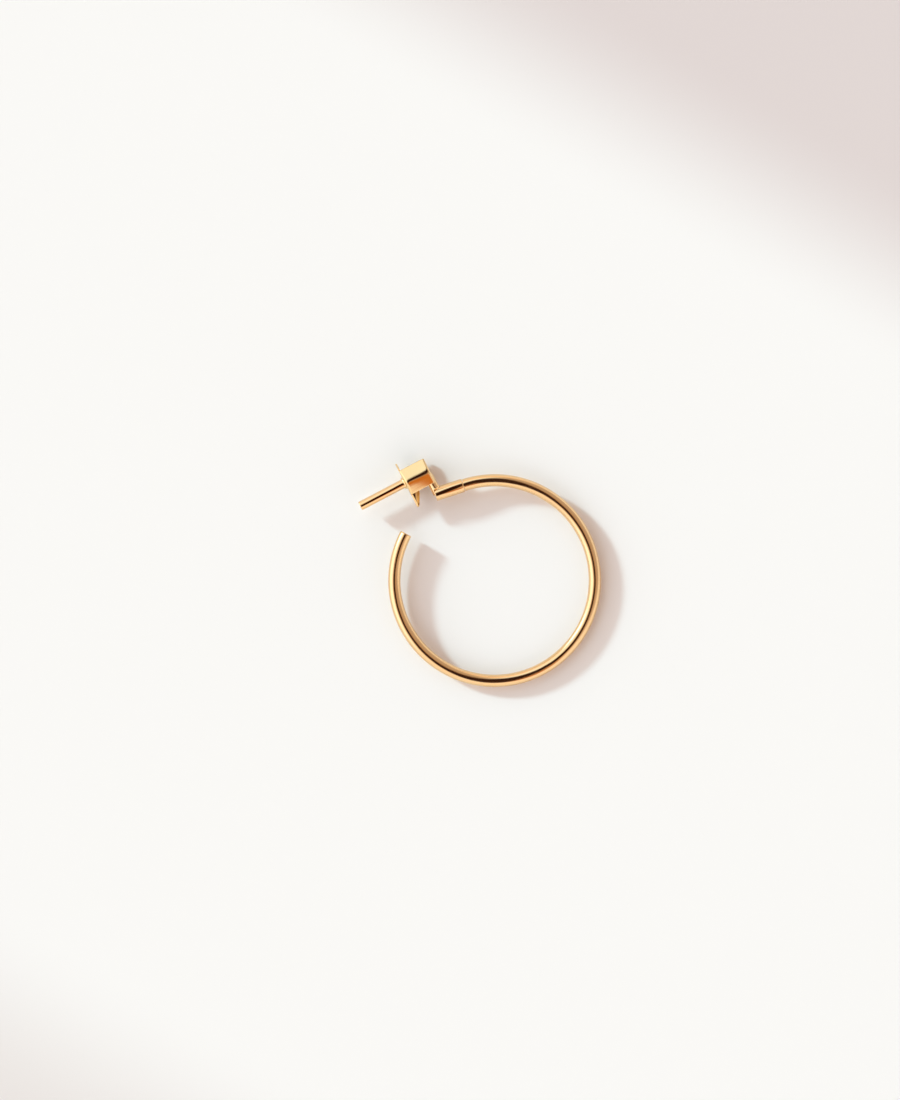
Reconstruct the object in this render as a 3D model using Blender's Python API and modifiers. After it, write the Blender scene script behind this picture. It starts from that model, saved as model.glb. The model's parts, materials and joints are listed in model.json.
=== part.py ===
"""Hoop earring: an open ring of round wire, a post with its end collar, and a butterfly clutch.

Metres, +Z up. The earring lies on its side: the clutch and the far side of the ring touch z = 0.
The earring is laid out flat first, in the plane of its ring, with the ring's centre at the origin.
"""

import math

import bmesh
import bpy
import numpy as np
from mathutils import Matrix, Vector

MM = 0.001

# Ring
RING_OUTER_DIAMETER = 25.0 * MM
WIRE_DIAMETER = 1.45 * MM
FREE_END_ANGLE = math.radians(152.0)  # where the plain end stands, from +X
COLLAR_ANGLE = math.radians(468.0)  # where the ring meets its collar, from +X
WIRE_END_ROUNDING = 0.14 * MM
RING_STEPS = 84
WIRE_SIDES = 16

# Collar, a sleeve pressed on a spigot that is turned on the ring's end
COLLAR_DIAMETER = 1.62 * MM
COLLAR_LENGTH = 3.5 * MM
COLLAR_EDGE = 0.10 * MM
SEAM_GAP = 0.05 * MM
SPIGOT_DIAMETER = 0.9 * MM
SPIGOT_LENGTH = 1.5 * MM
SPIGOT_CLEARANCE = 0.03 * MM

# Post, soldered to the collar's side by its bent leg
POST_DIAMETER = 1.1 * MM
POST_LENGTH = 8.75 * MM  # tip to the leg's centre line
POST_YAW = math.radians(9.6)  # between the collar's line and the post's
POST_BEND_RADIUS = 0.8 * MM
LEG_LENGTH = 2.9 * MM  # post's centre line to collar's centre line
LEG_INSET = 0.35 * MM  # leg's centre line to the collar's end face
TIP_ROUNDING = 0.10 * MM

# Butterfly clutch, one stamped strip: a lens-shaped plate whose two arms roll in to the post
CLUTCH_SETBACK = 5.9 * MM  # post's tip to the plate's ear face
CLUTCH_LENGTH = 3.26 * MM
CLUTCH_HALF_HEIGHT = 1.85 * MM
SHEET_THICKNESS = 0.2 * MM
PLATE_LENGTH = 5.7 * MM  # across the two wings
PLATE_HEIGHT = 3.0 * MM  # of the flat blank, where its wings meet
PLATE_OFFSET = 0.4 * MM  # how far the lower wing reaches past the upper one
ARM_WIDTH = 3.0 * MM
ARM_BEND_RADIUS = 0.35 * MM
ARM_RIDGE = 0.42 * MM
GRIP_LENGTH = 1.3 * MM  # stretch of an arm that lies along the post
CURL_RADIUS = 0.22 * MM
CURL_TURN = math.radians(150.0)
WING_BEND = math.radians(65.0)  # of the lower wing's floor side, towards the ring
POST_CLEARANCE = 0.05 * MM
BOSS_DIAMETER = 2.0 * MM
BOSS_HEIGHT = 0.35 * MM
SHEET_ROWS = 84
SHEET_COLUMNS = 12

GOLD = (0.86, 0.58, 0.26, 1.0)
POLISHED = 0.08

WIRE_RADIUS = WIRE_DIAMETER / 2
RING_RADIUS = RING_OUTER_DIAMETER / 2 - WIRE_RADIUS
COLLAR_RADIUS = COLLAR_DIAMETER / 2
POST_RADIUS = POST_DIAMETER / 2
UP = Vector((0.0, 0.0, 1.0))


def heading(angle):
    """Unit vector in the ring's plane."""
    return Vector((math.cos(angle), math.sin(angle), 0.0))


COLLAR_START = RING_RADIUS * heading(COLLAR_ANGLE)
COLLAR_LINE = heading(COLLAR_ANGLE + math.pi / 2)
COLLAR_END = COLLAR_START + (SEAM_GAP + COLLAR_LENGTH) * COLLAR_LINE
POST_LINE = heading(COLLAR_ANGLE + math.pi / 2 + POST_YAW)  # towards the tip
LEG_LINE = heading(COLLAR_ANGLE + POST_YAW)  # from the collar to the post
LEG_FOOT = COLLAR_END - LEG_INSET * COLLAR_LINE
POST_CORNER = LEG_FOOT + LEG_LENGTH * LEG_LINE
POST_TIP = POST_CORNER + POST_LENGTH * POST_LINE


def clear_scene():
    for thing in list(bpy.context.scene.objects):
        bpy.data.objects.remove(thing, do_unlink=True)


def new_collection(name):
    collection = bpy.data.collections.new(name)
    bpy.context.scene.collection.children.link(collection)
    return collection


def new_object(name, mesh, collection):
    thing = bpy.data.objects.new(name, mesh)
    collection.objects.link(thing)
    return thing


def gold(name, roughness):
    material = bpy.data.materials.new(name)
    material.use_nodes = True
    shader = material.node_tree.nodes["Principled BSDF"]
    shader.inputs["Base Color"].default_value = GOLD
    shader.inputs["Metallic"].default_value = 1.0
    shader.inputs["Roughness"].default_value = roughness
    return material


def finish(thing, material):
    """Give a piece its material, and smooth shading with crisp corners."""
    thing.data.materials.clear()
    thing.data.materials.append(material)
    thing.data.shade_smooth()
    thing.data.set_sharp_from_angle(angle=math.radians(35.0))


def mesh_from_bmesh(name, bm):
    bmesh.ops.recalc_face_normals(bm, faces=bm.faces)
    mesh = bpy.data.meshes.new(name)
    bm.to_mesh(mesh)
    bm.free()
    return mesh


def round_wire(name, points, radius, collection):
    """A wire along points: a bevelled curve, made a closed mesh."""
    curve = bpy.data.curves.new(name + "_line", "CURVE")
    curve.dimensions = "3D"
    curve.twist_mode = "Z_UP"
    curve.bevel_depth = radius
    curve.bevel_resolution = WIRE_SIDES // 2 - 2
    curve.use_fill_caps = True
    line = curve.splines.new("POLY")
    line.points.add(len(points) - 1)
    for spot, point in zip(line.points, points):
        spot.co = (*point, 1.0)
    guide = new_object(name + "_line", curve, collection)
    graph = bpy.context.evaluated_depsgraph_get()
    mesh = bpy.data.meshes.new_from_object(guide.evaluated_get(graph))
    bm = bmesh.new()
    bm.from_mesh(mesh)
    bmesh.ops.remove_doubles(bm, verts=bm.verts, dist=0.001 * MM)
    bmesh.ops.recalc_face_normals(bm, faces=bm.faces)
    bm.to_mesh(mesh)
    bm.free()
    wire = new_object(name, mesh, collection)
    wire.matrix_world = guide.matrix_world
    bpy.data.objects.remove(guide, do_unlink=True)
    return wire


def end_face(bm, place, line, radius):
    """The cap on a wire's end, made one face."""
    cap = [
        face
        for face in bm.faces
        if abs(face.normal.dot(line)) > 0.99 and (face.calc_center_median() - place).length < radius
    ]
    return bmesh.ops.dissolve_faces(bm, faces=cap, use_verts=False)["region"][0]


def round_rim(bm, face, width):
    bmesh.ops.bevel(
        bm, geom=list(face.edges), offset=width, segments=2, profile=0.5, affect="EDGES", material=-1
    )


def rod(name, place, line, radius, length, collection):
    """A straight round bar from a place along a line."""
    bm = bmesh.new()
    bmesh.ops.create_cone(
        bm, cap_ends=True, segments=WIRE_SIDES * 2, radius1=radius, radius2=radius, depth=length
    )
    bmesh.ops.translate(bm, verts=bm.verts, vec=(0.0, 0.0, length / 2))
    thing = new_object(name, mesh_from_bmesh(name, bm), collection)
    thing.matrix_world = Matrix.Translation(place) @ line.to_track_quat("Z", "Y").to_matrix().to_4x4()
    return thing


def as_cutter(thing):
    thing.hide_render = True
    thing.display_type = "WIRE"


def add_boolean(thing, other, operation):
    modifier = thing.modifiers.new(operation.lower(), "BOOLEAN")
    modifier.operation = operation
    modifier.solver = "EXACT"
    modifier.object = other
    as_cutter(other)


def make_ring(parts):
    """The open ring: plain round end on one side, a spigot for the collar on the other."""
    sweep = COLLAR_ANGLE - FREE_END_ANGLE
    angles = [FREE_END_ANGLE + sweep * step / RING_STEPS for step in range(RING_STEPS + 1)]
    ring = round_wire("hoop_ring", [RING_RADIUS * heading(a) for a in angles], WIRE_RADIUS, parts)
    bm = bmesh.new()
    bm.from_mesh(ring.data)
    collar_face = end_face(bm, COLLAR_START, COLLAR_LINE, WIRE_RADIUS)
    bmesh.ops.inset_region(bm, faces=[collar_face], thickness=WIRE_RADIUS - SPIGOT_DIAMETER / 2)
    raised = bmesh.ops.extrude_discrete_faces(bm, faces=[collar_face])["faces"][0]
    bmesh.ops.translate(bm, verts=raised.verts, vec=SPIGOT_LENGTH * COLLAR_LINE)
    free_end = RING_RADIUS * heading(FREE_END_ANGLE)
    free_face = end_face(bm, free_end, heading(FREE_END_ANGLE - math.pi / 2), WIRE_RADIUS)
    round_rim(bm, free_face, WIRE_END_ROUNDING)
    bm.to_mesh(ring.data)
    bm.free()
    return ring


def post_route():
    """Tip, straight post, right-angled bend, leg down to the collar's centre line."""
    bend_centre = POST_CORNER + POST_BEND_RADIUS * (POST_LINE - LEG_LINE)
    start = COLLAR_ANGLE + POST_YAW
    bend_steps = 8
    bend = [
        bend_centre + POST_BEND_RADIUS * heading(start - math.pi / 2 * step / bend_steps)
        for step in range(bend_steps + 1)
    ]
    return [POST_TIP, *bend, LEG_FOOT]


def make_post(parts, cutters):
    """Collar and post, soldered into one piece, bored for the ring's spigot."""
    post = rod("ear_post", COLLAR_START + SEAM_GAP * COLLAR_LINE, COLLAR_LINE, COLLAR_RADIUS, COLLAR_LENGTH, parts)
    edge = post.modifiers.new("turned_edges", "BEVEL")
    edge.width = COLLAR_EDGE
    edge.segments = 2
    edge.limit_method = "ANGLE"
    wire = round_wire("post_wire", post_route(), POST_RADIUS, cutters)
    bm = bmesh.new()
    bm.from_mesh(wire.data)
    round_rim(bm, end_face(bm, POST_TIP, POST_LINE, POST_RADIUS), TIP_ROUNDING)
    bm.to_mesh(wire.data)
    bm.free()
    add_boolean(post, wire, "UNION")
    bore = rod(
        "spigot_bore",
        COLLAR_START - SEAM_GAP * COLLAR_LINE,
        COLLAR_LINE,
        SPIGOT_DIAMETER / 2 + SPIGOT_CLEARANCE,
        SPIGOT_LENGTH + 2 * SEAM_GAP + SPIGOT_CLEARANCE,
        cutters,
    )
    add_boolean(post, bore, "DIFFERENCE")
    return post


MIDDLE_HEIGHT = CLUTCH_HALF_HEIGHT - ARM_RIDGE - SHEET_THICKNESS / 2
GRIP_HEIGHT = POST_RADIUS + POST_CLEARANCE + SHEET_THICKNESS / 2
LOOP_RADIUS = (MIDDLE_HEIGHT - GRIP_HEIGHT) / 2


def arm_stretches():
    """An arm from the plate's middle outwards, as (length, radius); radius 0 is straight."""
    run = CLUTCH_LENGTH - SHEET_THICKNESS - ARM_BEND_RADIUS - LOOP_RADIUS
    return [
        (MIDDLE_HEIGHT - ARM_BEND_RADIUS, 0.0),
        (ARM_BEND_RADIUS * math.pi / 2, ARM_BEND_RADIUS),
        (run, 0.0),
        (LOOP_RADIUS * math.pi, LOOP_RADIUS),
        (GRIP_LENGTH, 0.0),
        (CURL_RADIUS * CURL_TURN, CURL_RADIUS),
    ]


ARM_LENGTH = sum(length for length, _ in arm_stretches())
RIDGE_START = MIDDLE_HEIGHT - ARM_BEND_RADIUS
RIDGE_END = sum(length for length, _ in arm_stretches()[:3])


def arm_place(distance):
    """Along the post, height over it, and the turn of the strip, at a distance from the plate's middle."""
    along = SHEET_THICKNESS / 2
    height = 0.0
    turn = 0.0
    for length, radius in arm_stretches():
        part = min(distance, length)
        if radius:
            swing = part / radius
            along += radius * (math.cos(turn) - math.cos(turn + swing))
            height += radius * (math.sin(turn + swing) - math.sin(turn))
            turn += swing
        else:
            along += part * math.sin(turn)
            height += part * math.cos(turn)
        distance -= part
        if distance <= 0.0:
            break
    return along, height, turn


def smooth_step(value, start, end):
    share = min(max((value - start) / (end - start), 0.0), 1.0)
    return share * share * (3.0 - 2.0 * share)


def blank_half_width(distance):
    """Half the width of the flat blank: pointed wings at its middle, then the arms."""
    wing = 1.0 - distance / (PLATE_HEIGHT / 2)
    return max(ARM_WIDTH / 2, PLATE_LENGTH / 2 * math.sqrt(max(wing, 0.0)))


def sheet_place(across, lengthwise):
    """A point of the rolled sheet, from shares of the blank's width and length (-1 to 1)."""
    distance = abs(lengthwise) * ARM_LENGTH
    side = math.copysign(1.0, lengthwise)
    half_width = blank_half_width(distance)
    shift = PLATE_OFFSET * smooth_step(half_width, ARM_WIDTH / 2, PLATE_LENGTH / 2)
    sideways = across * half_width + shift
    along, height, turn = arm_place(distance)
    rise = smooth_step(distance, RIDGE_START, RIDGE_START + ARM_BEND_RADIUS * 2)
    fall = 1.0 - smooth_step(distance, RIDGE_END, RIDGE_END + LOOP_RADIUS * 2)
    ridge = ARM_RIDGE * rise * fall * (1.0 - abs(across))
    along -= ridge * math.cos(turn)
    height += ridge * math.sin(turn)
    if side > 0.0:
        fold = WING_BEND * smooth_step(sideways, ARM_WIDTH / 2, ARM_WIDTH / 2 + SHEET_THICKNESS * 2)
        along += height * math.sin(fold)
        height *= math.cos(fold)
    return Vector((along, sideways, side * height))


def make_clutch(parts, cutters):
    """The rolled strip and the boss round its hole: +X along the post, +Y to the ring, +Z to the floor."""
    bm = bmesh.new()
    bmesh.ops.create_grid(bm, x_segments=SHEET_COLUMNS, y_segments=SHEET_ROWS, size=1.0)
    for vert in bm.verts:
        vert.co = sheet_place(vert.co.x, vert.co.y)
    clutch = new_object("butterfly_clutch", mesh_from_bmesh("butterfly_clutch", bm), parts)
    wall = clutch.modifiers.new("sheet", "SOLIDIFY")
    wall.thickness = SHEET_THICKNESS
    wall.offset = 0.0
    wall.use_even_offset = True
    boss_bm = bmesh.new()
    bmesh.ops.create_cone(
        boss_bm,
        cap_ends=True,
        segments=WIRE_SIDES * 2,
        radius1=POST_RADIUS + POST_CLEARANCE + SHEET_THICKNESS,
        radius2=BOSS_DIAMETER / 2,
        depth=BOSS_HEIGHT + SHEET_THICKNESS / 2,
        matrix=Matrix.Rotation(math.pi / 2, 4, "Y"),
    )
    middle = (SHEET_THICKNESS / 2 - BOSS_HEIGHT) / 2
    bmesh.ops.translate(boss_bm, verts=boss_bm.verts, vec=(middle, 0.0, 0.0))
    boss = new_object("clutch_boss", mesh_from_bmesh("clutch_boss", boss_bm), cutters)
    hole = rod(
        "post_hole",
        Vector((-CLUTCH_LENGTH / 2, 0.0, 0.0)),
        Vector((1.0, 0.0, 0.0)),
        POST_RADIUS + POST_CLEARANCE,
        CLUTCH_LENGTH,
        cutters,
    )
    add_boolean(clutch, boss, "UNION")
    add_boolean(clutch, hole, "DIFFERENCE")
    seat = Matrix((-POST_LINE, -LEG_LINE, -UP)).transposed().to_4x4()
    seat.translation = POST_TIP - CLUTCH_SETBACK * POST_LINE
    for thing in (clutch, boss, hole):
        thing.matrix_world = seat @ thing.matrix_world
    return clutch


def lay_down(earring):
    """Tip the flat layout until the clutch and the ring's far side touch the floor together."""
    clutch_place = POST_TIP - CLUTCH_SETBACK * POST_LINE
    reach = RING_RADIUS + clutch_place.length
    tilt = math.asin((CLUTCH_HALF_HEIGHT - WIRE_RADIUS) / reach)
    raised_side = clutch_place.normalized()
    earring.matrix_world = Matrix.Rotation(tilt, 4, raised_side.cross(UP))


def centre_on_floor(earring, pieces):
    """Put the origin under the middle of the pieces' box, with the lowest point at z = 0."""
    bpy.context.view_layer.update()
    graph = bpy.context.evaluated_depsgraph_get()
    spots = []
    for piece in pieces:
        solid = piece.evaluated_get(graph)
        coordinates = np.empty(len(solid.data.vertices) * 3)
        solid.data.vertices.foreach_get("co", coordinates)
        place = np.array(piece.matrix_world)
        spots.append(coordinates.reshape(-1, 3) @ place[:3, :3].T + place[:3, 3])
    spots = np.concatenate(spots)
    low = spots.min(axis=0)
    high = spots.max(axis=0)
    middle = (low + high) / 2
    earring.location -= Vector((middle[0], middle[1], low[2]))


def main():
    clear_scene()
    parts = new_collection("hoop_earring")
    cutters = new_collection("hoop_earring_cutters")
    ring = make_ring(parts)
    post = make_post(parts, cutters)
    clutch = make_clutch(parts, cutters)
    finish(ring, gold("gold_plated_ring", POLISHED))
    finish(post, gold("gold_plated_post", POLISHED))
    finish(clutch, gold("gold_plated_clutch", POLISHED * 1.5))
    earring = new_object("earring", None, parts)
    slide = new_object("clutch_slide", None, parts)
    slide.location = POST_TIP - CLUTCH_SETBACK * POST_LINE
    bpy.context.view_layer.update()
    slide.parent = earring
    for thing in [*parts.objects, *cutters.objects]:
        if thing.type != "MESH":
            continue
        holder = slide if thing.name in ("butterfly_clutch", "clutch_boss", "post_hole") else earring
        thing.parent = holder
        thing.matrix_parent_inverse = holder.matrix_world.inverted()
    lay_down(earring)
    centre_on_floor(earring, (ring, post, clutch))


main()
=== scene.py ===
"""Gold-plated hoop earring with its butterfly clutch, lying on its side on a pale table.

Lengths are in metres. Each piece is made in the flat layout of the ring, with the ring's centre at
the origin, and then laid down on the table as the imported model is.
"""

import json
import math

import bmesh
import bpy
from mathutils import Matrix, Vector


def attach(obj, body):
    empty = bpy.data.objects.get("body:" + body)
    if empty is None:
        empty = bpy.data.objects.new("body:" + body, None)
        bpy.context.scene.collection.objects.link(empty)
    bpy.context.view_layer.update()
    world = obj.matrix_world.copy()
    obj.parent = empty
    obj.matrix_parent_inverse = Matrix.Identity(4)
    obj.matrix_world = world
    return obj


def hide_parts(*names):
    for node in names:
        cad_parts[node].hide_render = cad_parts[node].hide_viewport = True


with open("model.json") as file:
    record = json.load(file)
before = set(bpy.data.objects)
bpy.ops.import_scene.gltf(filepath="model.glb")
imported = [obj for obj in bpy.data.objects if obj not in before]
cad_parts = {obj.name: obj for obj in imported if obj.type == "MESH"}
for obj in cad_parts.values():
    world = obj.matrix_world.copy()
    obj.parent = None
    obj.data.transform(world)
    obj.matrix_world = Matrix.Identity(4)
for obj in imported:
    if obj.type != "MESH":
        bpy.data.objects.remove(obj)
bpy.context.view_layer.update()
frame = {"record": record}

MM = 0.001
UP = Vector((0.0, 0.0, 1.0))
ORIGIN = Vector((0.0, 0.0, 0.0))
FULL_TURN = 2 * math.pi
QUARTER_TURN = math.pi / 2

# Ring: round wire, cut plain at its free end
RING_OUTER_DIAMETER = 25.0 * MM
WIRE_RADIUS = 0.725 * MM
RING_RADIUS = RING_OUTER_DIAMETER / 2 - WIRE_RADIUS
FREE_END_ANGLE = math.radians(152.0)
COLLAR_ANGLE = math.radians(468.0)
FREE_END_ROUNDING = 0.14 * MM
RING_STEPS = 316
WIRE_SIDES = 48
ROUNDING_STEPS = 4

# Collar: a turned sleeve pressed on the ring's spigot
COLLAR_RADIUS = 0.81 * MM
COLLAR_LENGTH = 3.5 * MM
COLLAR_EDGE = 0.10 * MM
SEAM_GAP = 0.05 * MM
SPIGOT_RADIUS = 0.45 * MM
SPIGOT_LENGTH = 1.5 * MM
SPIGOT_CLEARANCE = 0.03 * MM

# Post: straight wire with one right-angled bend, soldered to the collar's side
POST_RADIUS = 0.55 * MM
POST_LENGTH = 8.75 * MM
POST_YAW = math.radians(9.6)
POST_BEND_RADIUS = 0.8 * MM
POST_BEND_STEPS = 24
LEG_LENGTH = 2.9 * MM
LEG_INSET = 0.35 * MM
TIP_ROUNDING = 0.10 * MM

# Solder: sunk into leg and collar, and thinning out before the collar's end
SOLDER_REACH = 0.16 * MM
SOLDER_SUNK = 0.03 * MM
SOLDER_STEPS = 6
SOLDER_FADE = 0.05 * MM
SOLDER_LEAST = 0.02

# Butterfly clutch: one stamped strip of sheet
CLUTCH_SETBACK = 5.9 * MM
CLUTCH_LENGTH = 3.26 * MM
CLUTCH_HALF_HEIGHT = 1.85 * MM
SHEET_THICKNESS = 0.2 * MM
SHEET_COLUMNS = 64
SLIT_COLUMN = 50
RIM_ROUNDING = 0.03 * MM
RIM_STEPS = 2
RIM_ANGLE = math.radians(50.0)

# Its plate, with two wings
PLATE_LENGTH = 5.7 * MM
PLATE_HEIGHT = 3.0 * MM
PLATE_OFFSET = 0.4 * MM
WING_TIP_ROUNDING = 0.12 * MM
WING_LEAST = 0.08 * MM
WING_BEND = math.radians(86.0)
WING_LIP_BEND = math.radians(45.0)
WING_SHELF = 0.56 * MM
WING_SHELF_LENGTH = 1.3 * MM

# Its arms, ridged along the middle and rolled in to the post
ARM_WIDTH = 3.0 * MM
ARM_BEND_RADIUS = 0.22 * MM
LOOP_BEND_RADIUS = 0.16 * MM
ARM_RIDGE = 0.42 * MM
RIDGE_CREST = 0.2
ARM_EDGE_DROOP = 0.13 * MM
GRIP_LENGTH = 1.3 * MM
CURL_RADIUS = 0.22 * MM
CURL_TURN = math.radians(150.0)

# Its boss, joined on with a small bore, and the hole that is then cut through both for the post
POST_CLEARANCE = 0.05 * MM
BOSS_WALL = 0.11 * MM
BOSS_RADIUS = 0.9 * MM
BOSS_HEIGHT = 0.22 * MM
BOSS_BORE = 0.3 * MM
BOSS_SEAT = 0.3 * SHEET_THICKNESS
BOSS_STEPS = 8
HOLE_DEPTH = 1.6 * MM

# What counts as sharp, as the same place, as on a line, and as round a wire's end
SHARP_ANGLE = math.radians(40.0)
SAME_PLACE = 0.001 * MM
ON_LINE = 0.00001 * MM
END_REACH = 1.2

# View, light and table, read off the photo
VIEW_CENTRE = Vector((-3.49 * MM, 2.67 * MM, 0.0))
CAMERA_HEIGHT = 0.5
CAMERA_NEAR = 0.01
FRAME_HEIGHT = 129.4 * MM
FILM_SIZE = 36.0
SUN_HEADING = Vector((0.866, -0.5, 0.0))
SUN_ELEVATION = math.radians(23.5)
SUN_SIZE = math.radians(6.5)
SUN_STRENGTH = 2.57
ROOM_STRENGTH = 1.19
TABLE_SIZE = 3.0
TABLE_ROUGHNESS = 0.9


def heading(angle):
    """Unit vector in the ring's plane."""
    return Vector((math.cos(angle), math.sin(angle), 0.0))


COLLAR_START = RING_RADIUS * heading(COLLAR_ANGLE)
COLLAR_LINE = heading(COLLAR_ANGLE + QUARTER_TURN)
COLLAR_END = COLLAR_START + (SEAM_GAP + COLLAR_LENGTH) * COLLAR_LINE
POST_LINE = heading(COLLAR_ANGLE + QUARTER_TURN + POST_YAW)
LEG_LINE = heading(COLLAR_ANGLE + POST_YAW)
LEG_FOOT = COLLAR_END - LEG_INSET * COLLAR_LINE
POST_CORNER = LEG_FOOT + LEG_LENGTH * LEG_LINE
POST_TIP = POST_CORNER + POST_LENGTH * POST_LINE
CLUTCH_PLACE = POST_TIP - CLUTCH_SETBACK * POST_LINE


def laid_down():
    """From the flat layout to the table: tipped on the clutch, the post's tip where the record has it."""
    reach = RING_RADIUS + CLUTCH_PLACE.length
    tilt = math.asin((CLUTCH_HALF_HEIGHT - WIRE_RADIUS) / reach)
    turn = Matrix.Rotation(tilt, 4, CLUTCH_PLACE.normalized().cross(UP))
    tip = next(m["pos_m"] for m in frame["record"]["mounts"] if m["name"] == "post_tip")
    return Matrix.Translation(Vector(tip) - turn @ POST_TIP) @ turn


ON_TABLE = laid_down()


def facing(place, line):
    """A place whose +Z looks along a line."""
    return Matrix.Translation(place) @ line.to_track_quat("Z", "Y").to_matrix().to_4x4()


def seated(x_line, y_line, z_line, place):
    """A place whose axes point along three lines."""
    seat = Matrix((x_line, y_line, z_line)).transposed().to_4x4()
    seat.translation = place
    return seat


def smooth_step(value, start, end):
    """0 up to start, 1 from end on, and smooth between."""
    share = min(max((value - start) / (end - start), 0.0), 1.0)
    return share * share * (3.0 - 2.0 * share)


# Colours and materials


def srgb(code, strength=1.0):
    """Linear colour from an sRGB hex code, times a strength for light."""
    shares = [int(code[i : i + 2], 16) / 255 for i in (0, 2, 4)]
    linear = [c / 12.92 if c <= 0.04045 else ((c + 0.055) / 1.055) ** 2.4 for c in shares]
    return [strength * c for c in linear] + [1.0]


def add_node(tree, kind, settings=None, inputs=None):
    """A node with its settings; an input is a value, or an output to link from."""
    made = tree.nodes.new(kind)
    for name, value in (settings or {}).items():
        setattr(made, name, value)
    for name, value in (inputs or {}).items():
        if isinstance(value, bpy.types.NodeSocket):
            tree.links.new(value, made.inputs[name])
        else:
            made.inputs[name].default_value = value
    return made


def shaded(tree, colour, shade, value, start, end):
    """A colour that turns softly into its shade as a value goes from start to end."""
    limits = {"Value": value, "From Min": start, "From Max": end}
    share = add_node(tree, "ShaderNodeMapRange", {"interpolation_type": "SMOOTHSTEP"}, limits).outputs[0]
    colours = {"Factor": share, "A": colour, "B": shade}
    return add_node(tree, "ShaderNodeMix", {"data_type": "RGBA"}, colours).outputs[2]


# Patterns on the gold, in repeats to each millimetre of metal. Real polish lines are about 0.01 mm
# apart, too fine to show, so they are drawn 0.12 mm apart and stretched along the metal. The swell
# of a hand polish repeats every 2 mm or so, and the tone of the plating every 3 mm.
POLISH_LINES = {"Scale": 1.0 / 0.12, "Detail": 2.0}
POLISH_STRETCH = (1.0, 1.0, 0.03)
POLISH_SWELL = {"Scale": 0.45, "Detail": 1.0}
PLATING_TONE = {"Scale": 0.3, "Detail": 3.0}

# The noise between these levels takes the roughness from the first share of the gold's own to the last
GLOSS_LEVELS = (0.3, 0.7)
GLOSS_SHARES = (0.7, 1.4)


def gold_plate(name, light, deep, roughness, line_depth, swell_depth):
    """Electroplated gold over brass, polished before plating: fine lines along the metal that the
    polish left, a slow swell that makes reflections waver, and plating a shade redder where thicker."""
    material = bpy.data.materials.new(name)
    material.use_nodes = True
    tree = material.node_tree
    shader = tree.nodes["Principled BSDF"]
    metal = add_node(tree, "ShaderNodeAttribute", {"attribute_name": "along_metal"}).outputs["Vector"]
    stretch = {"Vector": metal, "Scale": POLISH_STRETCH}
    along = add_node(tree, "ShaderNodeMapping", {"vector_type": "POINT"}, stretch).outputs[0]
    lines = add_node(tree, "ShaderNodeTexNoise", inputs={"Vector": along, **POLISH_LINES}).outputs[0]
    swell = add_node(tree, "ShaderNodeTexNoise", inputs={"Vector": metal, **POLISH_SWELL}).outputs[0]
    tone = add_node(tree, "ShaderNodeTexNoise", inputs={"Vector": metal, **PLATING_TONE}).outputs[0]
    tones = {"Factor": tone, "A": srgb(light), "B": srgb(deep)}
    colour = add_node(tree, "ShaderNodeMix", {"data_type": "RGBA"}, tones).outputs[2]
    glosses = {
        "Value": lines,
        "From Min": GLOSS_LEVELS[0],
        "From Max": GLOSS_LEVELS[1],
        "To Min": roughness * GLOSS_SHARES[0],
        "To Max": roughness * GLOSS_SHARES[1],
    }
    gloss = add_node(tree, "ShaderNodeMapRange", inputs=glosses).outputs[0]
    swells = {"Height": swell, "Distance": swell_depth, "Strength": 1.0}
    swollen = add_node(tree, "ShaderNodeBump", inputs=swells).outputs[0]
    grooves = {"Height": lines, "Distance": line_depth, "Strength": 1.0, "Normal": swollen}
    lined = add_node(tree, "ShaderNodeBump", inputs=grooves).outputs[0]
    tree.links.new(colour, shader.inputs["Base Color"])
    tree.links.new(gloss, shader.inputs["Roughness"])
    tree.links.new(lined, shader.inputs["Normal"])
    shader.inputs["Metallic"].default_value = 1.0
    return material


def ring_gold():
    """Plated wire, the least glossy of the three: the window's glow spreads a little on it."""
    return gold_plate(
        "polished_plated_wire",
        light="F3D09E",
        deep="EEC690",
        roughness=0.14,
        line_depth=0.002 * MM,
        swell_depth=0.03 * MM,
    )


def post_gold():
    """Plated post and turned collar, close to a mirror: the room's edges show crisp in it."""
    return gold_plate(
        "polished_plated_post",
        light="F3D09E",
        deep="EEC690",
        roughness=0.08,
        line_depth=0.002 * MM,
        swell_depth=0.03 * MM,
    )


def clutch_gold():
    """Plated stamped sheet, a shade paler: flatter than the wire, with deeper lines."""
    return gold_plate(
        "bright_stamped_sheet",
        light="F2D4A0",
        deep="EECB92",
        roughness=0.1,
        line_depth=0.003 * MM,
        swell_depth=0.02 * MM,
    )


TABLE_WHITE = srgb("F2ECE8")

# Shadows painted on the table top past both edges of the sunbeam: where each begins and is full, and its
# colour
PAINTED_BEAM_SHADOWS = (
    (45.0 * MM, 66.0 * MM, srgb("DACCC8")),
    (-62.0 * MM, -84.0 * MM, srgb("E3D9D4")),
)


def white_board_with_painted_shadows():
    """Painted board, matt: it gives no gloss, only a warm white that takes soft shadows; the shadows past
    the sunbeam's edges are painted into its colour.
    """
    material = bpy.data.materials.new("matt_white_board_painted_shadows")
    material.use_nodes = True
    tree = material.node_tree
    shader = tree.nodes["Principled BSDF"]
    place = add_node(tree, "ShaderNodeTexCoord").outputs["Object"]
    lines = {0: place, 1: UP.cross(SUN_HEADING)}
    side = add_node(tree, "ShaderNodeVectorMath", {"operation": "DOT_PRODUCT"}, lines).outputs["Value"]
    colour = TABLE_WHITE
    # Painted shadows: past each edge of the sunbeam the table's colour turns to a darker shade
    for start, end, shade in PAINTED_BEAM_SHADOWS:
        colour = shaded(tree, colour, shade, side, start, end)
    tree.links.new(colour, shader.inputs["Base Color"])
    shader.inputs["Roughness"].default_value = TABLE_ROUGHNESS
    shader.inputs["Specular IOR Level"].default_value = 0.0
    return material


# Shapes


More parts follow.
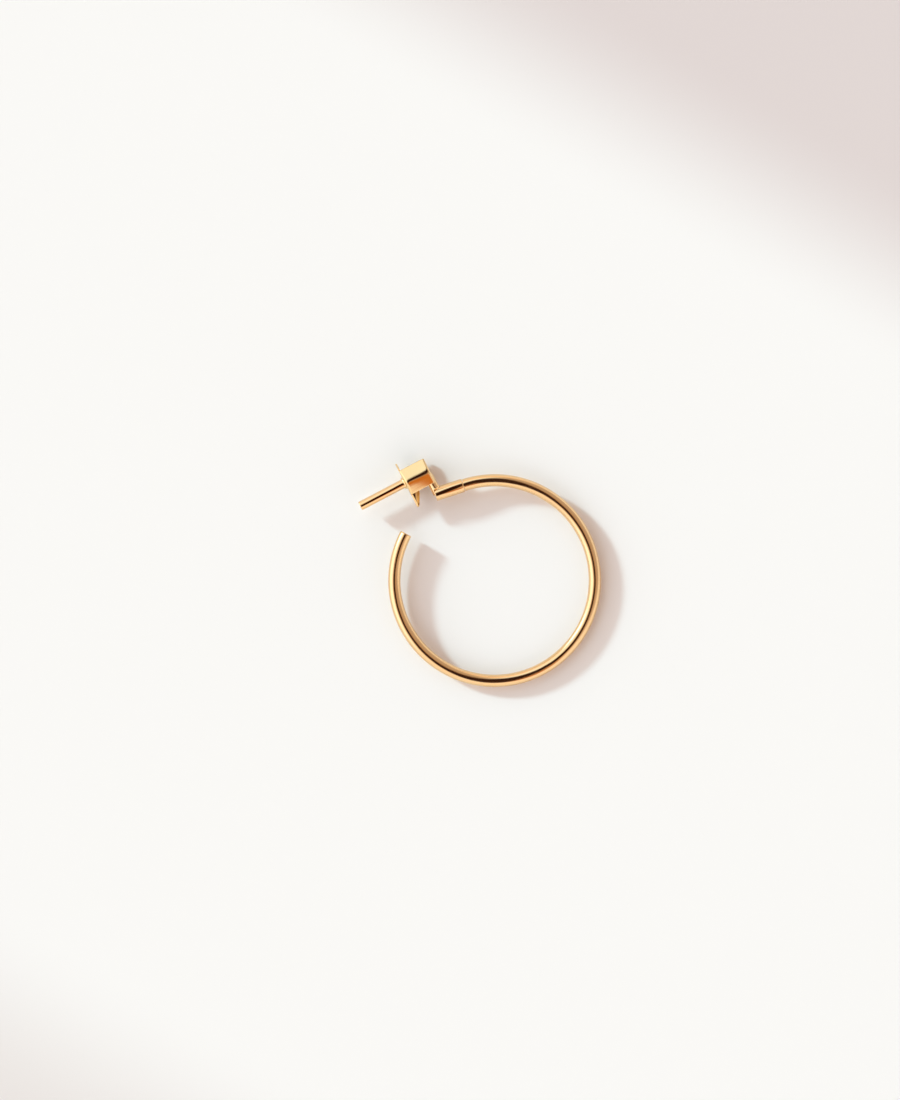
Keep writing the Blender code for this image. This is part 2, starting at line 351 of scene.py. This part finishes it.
def object_of(name, bm):
    """The object of a bmesh, in the scene."""
    mesh = bpy.data.meshes.new(name)
    bm.to_mesh(mesh)
    bm.free()
    thing = bpy.data.objects.new(name, mesh)
    bpy.context.scene.collection.objects.link(thing)
    return thing


def helper(name, bm):
    """A closed shape for a cut or a join."""
    bmesh.ops.recalc_face_normals(bm, faces=bm.faces)
    return object_of(name, bm)


def joined(base, others=()):
    """The bmesh of a base with others joined on or cut out in turn; their objects are then removed."""
    for other, operation in others:
        step = base.modifiers.new(operation, "BOOLEAN")
        step.operation = operation
        step.solver = "EXACT"
        step.object = other
    graph = bpy.context.evaluated_depsgraph_get()
    bm = bmesh.new()
    bm.from_mesh(bpy.data.meshes.new_from_object(base.evaluated_get(graph)))
    for thing in [base, *(other for other, _ in others)]:
        bpy.data.objects.remove(thing, do_unlink=True)
    return bm


def finished(name, bm, material, body, node):
    """The object of a closed shape, laid down on the table, riding where its solid rides."""
    bmesh.ops.transform(bm, matrix=ON_TABLE, verts=bm.verts)
    bmesh.ops.recalc_face_normals(bm, faces=bm.faces)
    piece = object_of(name, bm)
    piece.data.materials.append(material)
    piece.data.shade_smooth()
    piece.data.set_sharp_from_angle(angle=SHARP_ANGLE)
    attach(piece, body)
    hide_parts(node)
    return piece


def note_metal(bm, straightened):
    """Keep for every point where it lay in the straight metal, in millimetres, for the polish to follow."""
    layer = bm.verts.layers.float_vector.new("along_metal")
    for vert in bm.verts:
        vert[layer] = straightened(vert.co) / MM


def wire_start(bm, place, line, radius):
    """The round section that a wire is drawn from, in a bmesh that is still empty."""
    at = facing(place, line)
    bmesh.ops.create_circle(bm, cap_ends=False, segments=WIRE_SIDES, radius=radius, matrix=at)
    return bm.edges[:]


def drawn_on(bm, edges, way):
    """Draw an open end on, straight; gives the edges of its new end."""
    grown = bmesh.ops.extrude_edge_only(bm, edges=edges)["geom"]
    bmesh.ops.translate(bm, verts=[v for v in grown if isinstance(v, bmesh.types.BMVert)], vec=way)
    return [e for e in grown if isinstance(e, bmesh.types.BMEdge)]


def capped(bm, place, radius):
    """One face over the open end of a wire."""
    reach = radius * END_REACH
    edges = [
        e for e in bm.edges if e.is_boundary and all((v.co - place).length < reach for v in e.verts)
    ]
    return bmesh.ops.contextual_create(bm, geom=edges)["faces"][0]


def rounded(bm, edges, width):
    """Break sharp edges with a small round."""
    bmesh.ops.bevel(
        bm,
        geom=edges,
        offset=width,
        segments=ROUNDING_STEPS,
        profile=0.5,
        affect="EDGES",
        material=-1,
    )


def turned(bm, outline, axis):
    """Turn a closed outline once round an axis through the origin."""
    verts = [bm.verts.new(point) for point in outline]
    edges = [bm.edges.new(pair) for pair in zip(verts, verts[1:] + verts[:1])]
    bmesh.ops.spin(
        bm,
        geom=verts + edges,
        cent=ORIGIN,
        axis=axis,
        angle=FULL_TURN,
        steps=WIRE_SIDES,
        use_merge=True,
    )
    bmesh.ops.remove_doubles(bm, verts=bm.verts, dist=SAME_PLACE)


# Ring


def straight_ring(point):
    """A ring's point in its wire before it was bent, counted from the middle of the ring's mouth."""
    mouth = (FREE_END_ANGLE + COLLAR_ANGLE) / 2 - math.pi
    angle = (math.atan2(point.y, point.x) - mouth) % FULL_TURN
    return Vector((point.xy.length - RING_RADIUS, point.z, angle * RING_RADIUS))


def make_ring(material):
    """Open ring: a wire spun round, a rounded cut end, and a spigot for the collar."""
    bm = bmesh.new()
    free_place = RING_RADIUS * heading(FREE_END_ANGLE)
    edges = wire_start(bm, free_place, heading(FREE_END_ANGLE + QUARTER_TURN), WIRE_RADIUS)
    bmesh.ops.spin(
        bm,
        geom=edges,
        cent=ORIGIN,
        axis=UP,
        angle=COLLAR_ANGLE - FREE_END_ANGLE,
        steps=RING_STEPS,
        use_merge=False,
        use_duplicate=False,
    )
    free_face = capped(bm, free_place, WIRE_RADIUS)
    rounded(bm, list(free_face.edges), FREE_END_ROUNDING)
    shoulder = capped(bm, COLLAR_START, WIRE_RADIUS)
    bmesh.ops.inset_region(bm, faces=[shoulder], thickness=WIRE_RADIUS - SPIGOT_RADIUS)
    spigot = bmesh.ops.extrude_discrete_faces(bm, faces=[shoulder])["faces"][0]
    bmesh.ops.translate(bm, verts=spigot.verts, vec=SPIGOT_LENGTH * COLLAR_LINE)
    note_metal(bm, straight_ring)
    return finished("ring_wire", bm, material, "earring", "hoop_ring")


# Collar and post


def collar_sleeve():
    """Turned sleeve with rounded rims, bored at the ring's side for the spigot."""
    bm = bmesh.new()
    start = COLLAR_START + SEAM_GAP * COLLAR_LINE
    edges = wire_start(bm, start, COLLAR_LINE, COLLAR_RADIUS)
    drawn_on(bm, edges, COLLAR_LENGTH * COLLAR_LINE)
    near_face = capped(bm, start, COLLAR_RADIUS)
    far_face = capped(bm, COLLAR_END, COLLAR_RADIUS)
    rounded(bm, [*near_face.edges, *far_face.edges], COLLAR_EDGE)
    bore_radius = SPIGOT_RADIUS + SPIGOT_CLEARANCE
    near_face = min(bm.faces, key=lambda f: (f.calc_center_median() - start).length)
    bmesh.ops.inset_region(bm, faces=[near_face], thickness=COLLAR_RADIUS - COLLAR_EDGE - bore_radius)
    floor = bmesh.ops.extrude_discrete_faces(bm, faces=[near_face])["faces"][0]
    depth = SPIGOT_LENGTH + SPIGOT_CLEARANCE
    bmesh.ops.translate(bm, verts=floor.verts, vec=depth * COLLAR_LINE)
    return helper("collar_sleeve", bm)


def post_wire():
    """Post from its tip, round the bend and down to the collar."""
    bm = bmesh.new()
    start = wire_start(bm, POST_TIP, -POST_LINE, POST_RADIUS)
    straight = POST_LENGTH - POST_BEND_RADIUS
    bend = bmesh.ops.spin(
        bm,
        geom=drawn_on(bm, start, -straight * POST_LINE),
        cent=POST_CORNER + POST_BEND_RADIUS * (POST_LINE - LEG_LINE),
        axis=UP,
        angle=-QUARTER_TURN,
        steps=POST_BEND_STEPS,
        use_merge=False,
        use_duplicate=False,
    )["geom_last"]
    drop = LEG_LENGTH - POST_BEND_RADIUS
    drawn_on(bm, [e for e in bend if isinstance(e, bmesh.types.BMEdge)], -drop * LEG_LINE)
    tip_face = capped(bm, POST_TIP, POST_RADIUS)
    rounded(bm, list(tip_face.edges), TIP_ROUNDING)
    capped(bm, LEG_FOOT, POST_RADIUS)
    return helper("post_wire", bm)


def solder_fillet():
    """Solder drawn into the corner between the leg and the round of the collar."""
    bm = bmesh.new()
    inner = POST_RADIUS - SOLDER_SUNK
    hollow = [
        (POST_RADIUS + SOLDER_REACH * (1 - math.sin(a)), 0.0, SOLDER_REACH * (1 - math.cos(a)))
        for a in (QUARTER_TURN * step / SOLDER_STEPS for step in range(SOLDER_STEPS + 1))
    ]
    rim = (POST_RADIUS + SOLDER_REACH, 0.0, -SOLDER_SUNK)
    turned(bm, [(inner, 0.0, -SOLDER_SUNK), *reversed(hollow), rim], UP)
    for vert in bm.verts:
        kept = max(1.0 - smooth_step(vert.co.x, SOLDER_FADE, LEG_INSET - COLLAR_EDGE), SOLDER_LEAST)
        radius = vert.co.xy.length
        vert.co.xy *= (inner + (radius - inner) * kept) / radius
        collar = math.sqrt(COLLAR_RADIUS**2 - vert.co.y**2)
        vert.co.z = (vert.co.z + SOLDER_SUNK) * kept - SOLDER_SUNK + collar
    side = LEG_LINE.cross(COLLAR_LINE).normalized()
    seat = seated(side.cross(LEG_LINE), side, LEG_LINE, LEG_FOOT)
    bmesh.ops.transform(bm, matrix=seat, verts=bm.verts)
    return helper("solder_fillet", bm)


def straight_post(point):
    """A post's point in its straight wire, or in the collar's bar."""
    seat = Matrix((POST_LINE, LEG_LINE, UP)).to_4x4() @ Matrix.Translation(-POST_TIP)
    local = seat @ point
    return Vector((local.y, local.z, local.x))


def make_post(material):
    """Collar and post, soldered into one piece."""
    bm = joined(collar_sleeve(), [(post_wire(), "UNION"), (solder_fillet(), "UNION")])
    note_metal(bm, straight_post)
    return finished("collar_and_post", bm, material, "earring", "ear_post")


# Clutch, in its own place: +X along the post to the ring, +Y to the ring's side, +Z to the table

MIDDLE_HEIGHT = CLUTCH_HALF_HEIGHT - ARM_RIDGE - SHEET_THICKNESS / 2
GRIP_HEIGHT = POST_RADIUS + POST_CLEARANCE + SHEET_THICKNESS / 2
LOOP_FACE = MIDDLE_HEIGHT - GRIP_HEIGHT - 2 * LOOP_BEND_RADIUS
RUN_LENGTH = CLUTCH_LENGTH - SHEET_THICKNESS - ARM_BEND_RADIUS - LOOP_BEND_RADIUS

# An arm from the plate's middle outwards: length, bend radius (0 is straight), rows
ARM_STRETCHES = (
    (MIDDLE_HEIGHT - ARM_BEND_RADIUS, 0.0, 28),
    (ARM_BEND_RADIUS * QUARTER_TURN, ARM_BEND_RADIUS, 12),
    (RUN_LENGTH, 0.0, 16),
    (LOOP_BEND_RADIUS * QUARTER_TURN, LOOP_BEND_RADIUS, 10),
    (LOOP_FACE, 0.0, 5),
    (LOOP_BEND_RADIUS * QUARTER_TURN, LOOP_BEND_RADIUS, 10),
    (GRIP_LENGTH, 0.0, 8),
    (CURL_RADIUS * CURL_TURN, CURL_RADIUS, 12),
)
RIDGE_FULL = ARM_STRETCHES[0][0] + ARM_STRETCHES[1][0]
RIDGE_END = RIDGE_FULL + RUN_LENGTH


def blank_half_width(distance):
    """Half the width of the flat blank: lens-shaped wings at its middle, then the arms."""
    reach = math.hypot(distance, WING_TIP_ROUNDING) - WING_TIP_ROUNDING
    wing = PLATE_LENGTH / 2 * math.sqrt(max(1.0 - reach / (PLATE_HEIGHT / 2), 0.0))
    return wing if wing > ARM_WIDTH / 2 + WING_LEAST else ARM_WIDTH / 2


def next_row(bm, row):
    """Extrude the strip's end edge; the new row still lies on the old one."""
    edges = [bm.edges.get(pair) for pair in zip(row, row[1:])]
    grown = bmesh.ops.extrude_edge_only(bm, edges=edges)["geom"]
    return sorted((v for v in grown if isinstance(v, bmesh.types.BMVert)), key=lambda v: v.co.y)


def spread(row, distance):
    """Give a row the blank's width at its distance from the plate's middle; one column keeps to the slit."""
    half_width = blank_half_width(distance)
    shift = PLATE_OFFSET * smooth_step(half_width, ARM_WIDTH / 2, PLATE_LENGTH / 2)
    far, slit, near = shift - half_width, ARM_WIDTH / 2, shift + half_width
    for number, vert in enumerate(row):
        if number <= SLIT_COLUMN:
            vert.co.y = far + (slit - far) * number / SLIT_COLUMN
        else:
            vert.co.y = slit + (near - slit) * (number - SLIT_COLUMN) / (SHEET_COLUMNS - SLIT_COLUMN)


def raise_ridge(row, distance, turn, side):
    """Press the ridge up along an arm's middle and its edges down, the ring's side less towards the loop."""
    rise = max(math.sin(turn), 0.0)
    kept = 1.0 - smooth_step(distance, RIDGE_FULL, RIDGE_END)
    foot = math.hypot(1.0, RIDGE_CREST)
    for vert in row:
        across = vert.co.y / (ARM_WIDTH / 2)
        share = (foot - math.hypot(across, RIDGE_CREST)) / (foot - RIDGE_CREST)
        droop = ARM_EDGE_DROOP * rise**2 * abs(across) * (kept if across > 0.0 else 1.0)
        vert.co.z += side * (ARM_RIDGE * math.sqrt(rise) * share - droop)


def roll_arm(bm, row, side, layer):
    """Grow one arm from the plate's middle: up the plate, over, along, round the loop and in to the post."""
    distance = 0.0
    turn = 0.0
    grown = []
    for length, radius, rows in ARM_STRETCHES:
        step = length / rows
        for _ in range(rows):
            row = next_row(bm, row)
            if radius:
                x, z = row[0].co.x, row[0].co.z
                centre = (x + radius * math.cos(turn), 0.0, z - side * radius * math.sin(turn))
                swing = Matrix.Rotation(side * step / radius, 3, "Y")
                bmesh.ops.rotate(bm, verts=row, cent=centre, matrix=swing)
                turn += step / radius
            else:
                way = Vector((math.sin(turn), 0.0, side * math.cos(turn)))
                bmesh.ops.translate(bm, verts=row, vec=step * way)
            distance += step
            spread(row, distance)
            for vert in row:
                vert[layer] = Vector((vert.co.y, 0.0, side * distance)) / MM
            grown.append((row, distance, turn))
    for row, distance, turn in grown:
        raise_ridge(row, distance, turn, side)


def fold_wing(bm):
    """Slit the lower wing from its arm and bend its table side up: a narrowing shelf, then a lip."""
    root = ARM_WIDTH / 2
    slit = [
        e
        for e in bm.edges
        if not e.is_boundary and all(abs(v.co.y - root) < ON_LINE and v.co.z > -ON_LINE for v in e.verts)
    ]
    bmesh.ops.split_edges(bm, edges=slit)
    faces = [f for f in bm.faces if f.calc_center_median().y > root]
    for vert in {v for f in faces for v in f.verts if v.co.z > ON_LINE}:
        narrowing = (vert.co.y - root) / WING_SHELF_LENGTH
        shelf = min(vert.co.z, WING_SHELF * max(1.0 - narrowing, 0.0))
        lip = vert.co.z - shelf
        vert.co.x += shelf * math.sin(WING_BEND) + lip * math.sin(WING_LIP_BEND)
        vert.co.z = shelf * math.cos(WING_BEND) + lip * math.cos(WING_LIP_BEND)


def clutch_sheet():
    """The strip, rolled, as one layer that then gets its thickness."""
    bm = bmesh.new()
    layer = bm.verts.layers.float_vector.new("along_metal")
    middle = [
        bm.verts.new((SHEET_THICKNESS / 2, float(number), 0.0)) for number in range(SHEET_COLUMNS + 1)
    ]
    for pair in zip(middle, middle[1:]):
        bm.edges.new(pair)
    spread(middle, 0.0)
    for vert in middle:
        vert[layer] = Vector((vert.co.y, 0.0, 0.0)) / MM
    for side in (1.0, -1.0):
        roll_arm(bm, middle, side, layer)
    bmesh.ops.remove_doubles(bm, verts=bm.verts, dist=SAME_PLACE)
    fold_wing(bm)
    sheet = helper("clutch_sheet", bm)
    wall = sheet.modifiers.new("sheet", "SOLIDIFY")
    wall.thickness = SHEET_THICKNESS
    wall.offset = 0.0
    wall.use_even_offset = False
    wall.use_quality_normals = True
    return sheet


def clutch_boss():
    """Drawn boss round the hole: a flared foot on the plate and a rounded mouth."""
    bm = bmesh.new()
    mouth = POST_RADIUS + POST_CLEARANCE + BOSS_WALL
    flare = [
        (-BOSS_HEIGHT + (BOSS_HEIGHT + BOSS_SEAT) * t, 0.0, mouth + (BOSS_RADIUS - mouth) * t**3)
        for t in (step / BOSS_STEPS for step in range(BOSS_STEPS + 1))
    ]
    outline = [(-BOSS_HEIGHT, 0.0, BOSS_BORE), *flare, (BOSS_SEAT, 0.0, BOSS_BORE)]
    turned(bm, outline, Vector((1.0, 0.0, 0.0)))
    return helper("clutch_boss", bm)


def post_hole():
    """Round cutter for the hole through plate and boss."""
    bm = bmesh.new()
    bmesh.ops.create_cone(
        bm,
        cap_ends=True,
        segments=WIRE_SIDES,
        radius1=POST_RADIUS + POST_CLEARANCE,
        radius2=POST_RADIUS + POST_CLEARANCE,
        depth=HOLE_DEPTH,
        matrix=Matrix.Rotation(QUARTER_TURN, 4, "Y"),
    )
    return helper("post_hole", bm)


def rolled_clutch():
    """The sheet with its boss and hole, its rims rounded."""
    bored = joined(clutch_sheet(), [(clutch_boss(), "UNION"), (post_hole(), "DIFFERENCE")])
    blank = object_of("rolled_blank", bored)
    rims = blank.modifiers.new("rims", "BEVEL")
    rims.width = RIM_ROUNDING
    rims.segments = RIM_STEPS
    rims.limit_method = "ANGLE"
    rims.angle_limit = RIM_ANGLE
    return joined(blank)


def make_clutch(material):
    """Butterfly clutch on the post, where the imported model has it."""
    bm = rolled_clutch()
    seat = seated(-POST_LINE, -LEG_LINE, -UP, CLUTCH_PLACE)
    bmesh.ops.transform(bm, matrix=seat, verts=bm.verts)
    return finished("rolled_clutch", bm, material, "clutch", "butterfly_clutch")


# Table, light and camera


def make_table(material):
    """Pale table top, its colour painted darker in soft shadows past both sides of the sunbeam."""
    bm = bmesh.new()
    bmesh.ops.create_grid(bm, x_segments=1, y_segments=1, size=TABLE_SIZE / 2)
    table = object_of("table_top", bm)
    table.data.materials.append(material)


SUN_COLOUR = srgb("C6F3FF")
ROOM_WHITE = srgb("FFF5F0")

# Soft patches of the room: compass angle from +X, angle from straight up, half angle of the full
# patch, half angle where it has faded, all in degrees, and colour
ROOM_PATCHES = (
    (90.0, 60.0, 15.0, 50.0, srgb("F8E2D2")),
    (35.0, 42.0, 24.0, 52.0, srgb("B8A89C")),
    (180.0, 60.0, 15.0, 50.0, srgb("F0F8FF", 1.5)),
    (150.0, 71.0, 5.0, 16.0, srgb("F0F8FF", 4.0)),
    (0.0, 0.0, 8.0, 42.0, srgb("B09078")),
    (118.0, 44.0, 16.0, 30.0, srgb("F4FAFF", 1.12)),
    (298.0, 37.0, 4.0, 13.0, srgb("C47830")),
)

# Dark gap straight overhead: half angles along X and Y, shares of them where its soft edge begins
# and ends, and colour
GAP_HALF_ANGLES = (math.radians(14.5), math.radians(42.0))
GAP_EDGE = (0.65, 1.25)
GAP_COLOUR = srgb("2C1408")


def make_studio():
    """Pale room: window glow, brown sides, and a soft dark gap overhead, where the camera stands."""
    world = bpy.data.worlds.new("studio")
    bpy.context.scene.world = world
    world.use_nodes = True
    tree = world.node_tree
    way = add_node(tree, "ShaderNodeTexCoord").outputs["Generated"]
    colour = ROOM_WHITE
    for compass, lean, full, faded, tint in ROOM_PATCHES:
        compass, lean, full, faded = (math.radians(angle) for angle in (compass, lean, full, faded))
        lines = {0: way, 1: heading(compass) * math.sin(lean) + UP * math.cos(lean)}
        near = add_node(tree, "ShaderNodeVectorMath", {"operation": "DOT_PRODUCT"}, lines).outputs["Value"]
        colour = shaded(tree, colour, tint, near, math.cos(faded), math.cos(full))
    height = add_node(tree, "ShaderNodeSeparateXYZ", inputs={0: way}).outputs[2]
    level = add_node(tree, "ShaderNodeCombineXYZ", inputs={0: height, 1: height, 2: height}).outputs[0]
    flat = add_node(tree, "ShaderNodeVectorMath", {"operation": "DIVIDE"}, {0: way, 1: level}).outputs[0]
    across, upright = (1 / math.tan(angle) for angle in GAP_HALF_ANGLES)
    sizes = {"Vector": flat, "Scale": (across, upright, 0.0)}
    gap = add_node(tree, "ShaderNodeMapping", inputs=sizes).outputs[0]
    reach = add_node(tree, "ShaderNodeVectorMath", {"operation": "LENGTH"}, {0: gap}).outputs["Value"]
    colour = shaded(tree, GAP_COLOUR, colour, reach, *GAP_EDGE)
    ground = tree.nodes["Background"]
    tree.links.new(colour, ground.inputs["Color"])
    ground.inputs["Strength"].default_value = ROOM_STRENGTH


def make_sun():
    """Low sun that draws the shadows; in the metal, a bright patch of the room stands for it."""
    lamp = bpy.data.lights.new("window_sun", "SUN")
    lamp.energy = SUN_STRENGTH
    lamp.color = SUN_COLOUR[:3]
    lamp.angle = SUN_SIZE
    sun = bpy.data.objects.new("window_sun", lamp)
    bpy.context.scene.collection.objects.link(sun)
    fall = SUN_HEADING * math.cos(SUN_ELEVATION) - UP * math.sin(SUN_ELEVATION)
    sun.rotation_euler = fall.to_track_quat("-Z", "Y").to_euler()
    sun.visible_glossy = False


def make_camera():
    """Camera straight above, looking down, as high as the photo's view."""
    lens = bpy.data.cameras.new("overhead_camera")
    lens.sensor_width = FILM_SIZE
    lens.lens = FILM_SIZE * CAMERA_HEIGHT / FRAME_HEIGHT
    lens.clip_start = CAMERA_NEAR
    camera = bpy.data.objects.new("overhead_camera", lens)
    bpy.context.scene.collection.objects.link(camera)
    camera.location = VIEW_CENTRE + CAMERA_HEIGHT * UP
    bpy.context.scene.camera = camera


bpy.context.scene.view_settings.view_transform = "Standard"
make_table(white_board_with_painted_shadows())
make_studio()
make_sun()
make_camera()
make_ring(ring_gold())
make_post(post_gold())
make_clutch(clutch_gold())
